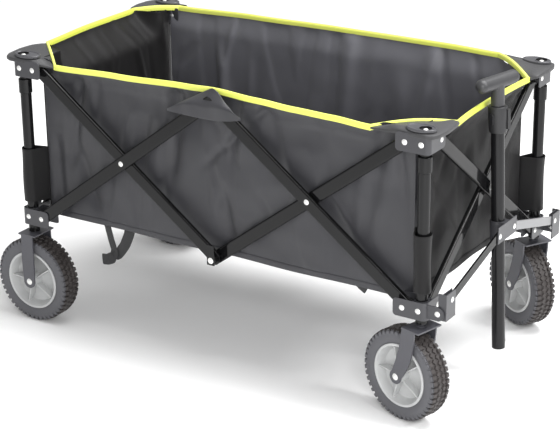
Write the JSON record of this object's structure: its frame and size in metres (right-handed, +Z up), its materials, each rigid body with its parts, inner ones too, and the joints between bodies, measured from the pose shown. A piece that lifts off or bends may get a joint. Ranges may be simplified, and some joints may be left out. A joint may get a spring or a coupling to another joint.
{
  "type": "folding camp wagon",
  "caption": "Folding wagon: scissor-bar steel frame on telescoping posts, cloth bag, caster wheels in front, sliding pull handle with a T grip.",
  "frame": {"origin": "on the ground, midway between the four posts", "axes": "+X forwards to the pull handle, +Y to the left side, +Z up"},
  "size_m": [1.0189, 0.5789, 0.5953],
  "materials": {
    "post_paint": "satin",
    "bracket_paint": "satin",
    "bar_paint": "satin",
    "fork_paint": "satin",
    "cap_plastic": "matte",
    "grip_plastic": "satin",
    "button_plastic": "gloss",
    "inner_steel": "satin",
    "rim_plastic": "gloss",
    "tread": "matte",
    "bag_cloth": "woven",
    "floor_cloth": "woven"
  },
  "bodies": {
    "corner_rr": {"lower_post_rr": "post_paint", "lower_bracket_rr": "bracket_paint", "fork_rr": "fork_paint"},
    "corner_fr": {"lower_post_fr": "post_paint", "lower_bracket_fr": "bracket_paint"},
    "corner_rl": {"lower_post_rl": "post_paint", "lower_bracket_rl": "bracket_paint", "fork_rl": "fork_paint"},
    "corner_fl": {"lower_post_fl": "post_paint", "lower_bracket_fl": "bracket_paint"},
    "head_rr": {"upper_post_rr": "post_paint", "head_bracket_rr": "bracket_paint", "corner_cap_rr": "cap_plastic", "bag_wall_right": "bag_cloth"},
    "head_fr": {"upper_post_fr": "post_paint", "head_bracket_fr": "bracket_paint", "corner_cap_fr": "cap_plastic", "bag_wall_front": "bag_cloth"},
    "head_rl": {"upper_post_rl": "post_paint", "head_bracket_rl": "bracket_paint", "corner_cap_rl": "cap_plastic", "bag_wall_rear": "bag_cloth"},
    "head_fl": {"upper_post_fl": "post_paint", "head_bracket_fl": "bracket_paint", "corner_cap_fl": "cap_plastic", "bag_wall_left": "bag_cloth"},
    "right_bar_rear_low": {"right_bar_rear_low": "bar_paint"},
    "right_bar_rear_high": {"right_bar_rear_high": "bar_paint"},
    "right_bar_front_low": {"right_bar_front_low": "bar_paint"},
    "right_bar_front_high": {"right_bar_front_high": "bar_paint"},
    "left_bar_rear_low": {"left_bar_rear_low": "bar_paint"},
    "left_bar_rear_high": {"left_bar_rear_high": "bar_paint"},
    "left_bar_front_low": {"left_bar_front_low": "bar_paint"},
    "left_bar_front_high": {"left_bar_front_high": "bar_paint"},
    "front_bar_right_high": {"front_bar_right_high": "bar_paint"},
    "front_bar_right_low": {"front_bar_right_low": "bar_paint"},
    "rear_bar_right_high": {"rear_bar_right_high": "bar_paint"},
    "rear_bar_right_low": {"rear_bar_right_low": "bar_paint"},
    "caster_right": {"fork_fr": "fork_paint"},
    "caster_left": {"fork_fl": "fork_paint"},
    "wheel_rr": {"rim_rr": "rim_plastic", "tyre_rr": "tread"},
    "wheel_fr": {"rim_fr": "rim_plastic", "tyre_fr": "tread"},
    "wheel_rl": {"rim_rl": "rim_plastic", "tyre_rl": "tread"},
    "wheel_fl": {"rim_fl": "rim_plastic", "tyre_fl": "tread"},
    "swivel_right": {"swivel_bracket_right": "bracket_paint"},
    "swivel_left": {"swivel_bracket_left": "bracket_paint"},
    "strut_right": {"strut_right": "bar_paint"},
    "strut_left": {"strut_left": "bar_paint"},
    "hub": {"handle_hub": "bracket_paint"},
    "outer_tube": {"handle_tube": "post_paint", "handle_collar": "grip_plastic"},
    "inner_tube": {"inner_tube": "inner_steel", "grip": "grip_plastic"},
    "button": {"release_button": "button_plastic"},
    "floor_right": {"bag_floor_right": "floor_cloth"},
    "floor_left": {"bag_floor_left": "floor_cloth"}
  },
  "joints": [
    {"name": "fold", "type": "hinge", "parent": "corner_rr", "child": "right_bar_rear_low", "pos_m": [-0.408, -0.234, 0.224], "axis": [0, -1, 0], "range_deg": [0, 36], "deforming": ["bag_wall_right", "bag_wall_front", "bag_wall_left", "bag_wall_rear", "bag_floor_right", "bag_floor_left"]},
    {"name": "right_rear_cross", "type": "hinge", "parent": "right_bar_rear_low", "child": "right_bar_rear_high", "pos_m": [-0.204, -0.234, 0.3785], "axis": [0, -1, 0], "range_deg": [-72, 0]},
    {"name": "right_top_hinge", "type": "hinge", "parent": "right_bar_rear_low", "child": "right_bar_front_low", "pos_m": [0, -0.234, 0.533], "axis": [0, -1, 0], "range_deg": [-72, 0]},
    {"name": "right_front_cross", "type": "hinge", "parent": "right_bar_front_low", "child": "right_bar_front_high", "pos_m": [0.204, -0.234, 0.3785], "axis": [0, -1, 0], "range_deg": [0, 72]},
    {"name": "head_rr_hinge", "type": "hinge", "parent": "right_bar_rear_high", "child": "head_rr", "pos_m": [-0.408, -0.234, 0.533], "axis": [0, -1, 0], "range_deg": [0, 36]},
    {"name": "corner_fr_hinge", "type": "hinge", "parent": "right_bar_front_low", "child": "corner_fr", "pos_m": [0.408, -0.234, 0.224], "axis": [0, -1, 0], "range_deg": [0, 36]},
    {"name": "head_fr_hinge", "type": "hinge", "parent": "right_bar_front_high", "child": "head_fr", "pos_m": [0.408, -0.234, 0.533], "axis": [0, -1, 0], "range_deg": [-36, 0]},
    {"name": "front_low_turn", "type": "hinge", "parent": "corner_fr", "child": "front_bar_right_low", "pos_m": [0.44, -0.204, 0.224], "axis": [1, 0, 0], "range_deg": [0, 36]},
    {"name": "front_cross", "type": "hinge", "parent": "front_bar_right_low", "child": "front_bar_right_high", "pos_m": [0.44, 0, 0.3785], "axis": [1, 0, 0], "range_deg": [-72, 0]},
    {"name": "rear_low_turn", "type": "hinge", "parent": "corner_rr", "child": "rear_bar_right_low", "pos_m": [-0.44, -0.204, 0.224], "axis": [1, 0, 0], "range_deg": [0, 36]},
    {"name": "rear_cross", "type": "hinge", "parent": "rear_bar_right_low", "child": "rear_bar_right_high", "pos_m": [-0.44, 0, 0.3785], "axis": [1, 0, 0], "range_deg": [-72, 0]},
    {"name": "corner_rl_hinge", "type": "hinge", "parent": "rear_bar_right_high", "child": "corner_rl", "pos_m": [-0.44, 0.204, 0.224], "axis": [1, 0, 0], "range_deg": [0, 36]},
    {"name": "head_rl_hinge", "type": "hinge", "parent": "rear_bar_right_low", "child": "head_rl", "pos_m": [-0.44, 0.204, 0.533], "axis": [1, 0, 0], "range_deg": [-36, 0]},
    {"name": "left_rear_low_turn", "type": "hinge", "parent": "corner_rl", "child": "left_bar_rear_low", "pos_m": [-0.408, 0.234, 0.224], "axis": [0, -1, 0], "range_deg": [0, 36]},
    {"name": "left_rear_cross", "type": "hinge", "parent": "left_bar_rear_low", "child": "left_bar_rear_high", "pos_m": [-0.204, 0.234, 0.3785], "axis": [0, -1, 0], "range_deg": [-72, 0]},
    {"name": "left_top_hinge", "type": "hinge", "parent": "left_bar_rear_low", "child": "left_bar_front_low", "pos_m": [0, 0.234, 0.533], "axis": [0, -1, 0], "range_deg": [-72, 0]},
    {"name": "left_front_cross", "type": "hinge", "parent": "left_bar_front_low", "child": "left_bar_front_high", "pos_m": [0.204, 0.234, 0.3785], "axis": [0, -1, 0], "range_deg": [0, 72]},
    {"name": "corner_fl_hinge", "type": "hinge", "parent": "left_bar_front_low", "child": "corner_fl", "pos_m": [0.408, 0.234, 0.224], "axis": [0, -1, 0], "range_deg": [0, 36]},
    {"name": "head_fl_hinge", "type": "hinge", "parent": "left_bar_front_high", "child": "head_fl", "pos_m": [0.408, 0.234, 0.533], "axis": [0, -1, 0], "range_deg": [-36, 0]},
    {"name": "floor_right_turn", "type": "hinge", "parent": "head_rr", "child": "floor_right", "pos_m": [0, -0.2099, 0.232], "axis": [1, 0, 0], "range_deg": [0, 67.54]},
    {"name": "floor_left_turn", "type": "hinge", "parent": "head_fl", "child": "floor_left", "pos_m": [0, 0.2099, 0.232], "axis": [1, 0, 0], "range_deg": [-67.54, 0]},
    {"name": "pull_tilt", "type": "hinge", "parent": "corner_fr", "child": "swivel_right", "pos_m": [0.475, -0.228, 0.224], "axis": [0, 1, 0], "range_deg": [0, 75]},
    {"name": "swivel_left_turn", "type": "hinge", "parent": "corner_fl", "child": "swivel_left", "pos_m": [0.475, 0.228, 0.224], "axis": [0, 1, 0], "range_deg": [0, 75]},
    {"name": "strut_right_turn", "type": "hinge", "parent": "swivel_right", "child": "strut_right", "pos_m": [0.4868, -0.217, 0.2465], "axis": [1, 0, 0], "range_deg": [0, 57.03]},
    {"name": "strut_left_turn", "type": "hinge", "parent": "swivel_left", "child": "strut_left", "pos_m": [0.4868, 0.217, 0.2465], "axis": [1, 0, 0], "range_deg": [-57.03, 0]},
    {"name": "hub_turn", "type": "hinge", "parent": "strut_right", "child": "hub", "pos_m": [0.4868, -0.03, 0.2996], "axis": [1, 0, 0], "range_deg": [-57.03, 0]},
    {"name": "handle_slide", "type": "slide", "parent": "hub", "child": "outer_tube", "axis": [-0.0419, 0, 0.9991], "range_m": [0, 0.18]},
    {"name": "handle_extend", "type": "slide", "parent": "outer_tube", "child": "inner_tube", "axis": [-0.0419, 0, 0.9991], "range_m": [0, 0.33]},
    {"name": "button_press", "type": "slide", "parent": "outer_tube", "child": "button", "axis": [0.2535, 0.9673, 0.0106], "range_m": [0, 0.0018], "stiffness_N_per_m": 800},
    {"name": "caster_right_swivel", "type": "hinge", "parent": "corner_fr", "child": "caster_right", "pos_m": [0.44, -0.234, 0.19], "axis": [0, 0, 1], "continuous": true},
    {"name": "wheel_fr_spin", "type": "hinge", "parent": "caster_right", "child": "wheel_fr", "pos_m": [0.40716, -0.2252, 0.0875], "axis": [0.2588, 0.9659, 0], "continuous": true},
    {"name": "caster_left_swivel", "type": "hinge", "parent": "corner_fl", "child": "caster_left", "pos_m": [0.44, 0.234, 0.19], "axis": [0, 0, 1], "continuous": true},
    {"name": "wheel_fl_spin", "type": "hinge", "parent": "caster_left", "child": "wheel_fl", "pos_m": [0.41086, 0.25151, 0.0875], "axis": [0.515, 0.8572, 0], "continuous": true},
    {"name": "wheel_rr_spin", "type": "hinge", "parent": "corner_rr", "child": "wheel_rr", "pos_m": [-0.437, -0.234, 0.0875], "axis": [0, 1, 0], "continuous": true},
    {"name": "wheel_rl_spin", "type": "hinge", "parent": "corner_rl", "child": "wheel_rl", "pos_m": [-0.437, 0.234, 0.0875], "axis": [0, 1, 0], "continuous": true}
  ],
  "couplings": [
    {"joint": "right_rear_cross", "follows": "fold", "ratio": -2},
    {"joint": "right_top_hinge", "follows": "fold", "ratio": -2},
    {"joint": "right_front_cross", "follows": "fold", "ratio": 2},
    {"joint": "head_rr_hinge", "follows": "fold", "ratio": 1},
    {"joint": "corner_fr_hinge", "follows": "fold", "ratio": 1},
    {"joint": "head_fr_hinge", "follows": "fold", "ratio": -1},
    {"joint": "front_low_turn", "follows": "fold", "ratio": 1},
    {"joint": "front_cross", "follows": "fold", "ratio": -2},
    {"joint": "rear_low_turn", "follows": "fold", "ratio": 1},
    {"joint": "rear_cross", "follows": "fold", "ratio": -2},
    {"joint": "corner_rl_hinge", "follows": "fold", "ratio": 1},
    {"joint": "head_rl_hinge", "follows": "fold", "ratio": -1},
    {"joint": "left_rear_low_turn", "follows": "fold", "ratio": 1},
    {"joint": "left_rear_cross", "follows": "fold", "ratio": -2},
    {"joint": "left_top_hinge", "follows": "fold", "ratio": -2},
    {"joint": "left_front_cross", "follows": "fold", "ratio": 2},
    {"joint": "corner_fl_hinge", "follows": "fold", "ratio": 1},
    {"joint": "head_fl_hinge", "follows": "fold", "ratio": -1},
    {"joint": "floor_right_turn", "follows": "fold", "ratio": 1.8761},
    {"joint": "floor_left_turn", "follows": "fold", "ratio": -1.8761},
    {"joint": "swivel_left_turn", "follows": "pull_tilt", "ratio": 1},
    {"joint": "strut_right_turn", "follows": "fold", "ratio": 1.5841},
    {"joint": "strut_left_turn", "follows": "fold", "ratio": -1.5841},
    {"joint": "hub_turn", "follows": "fold", "ratio": -1.5841}
  ]
}
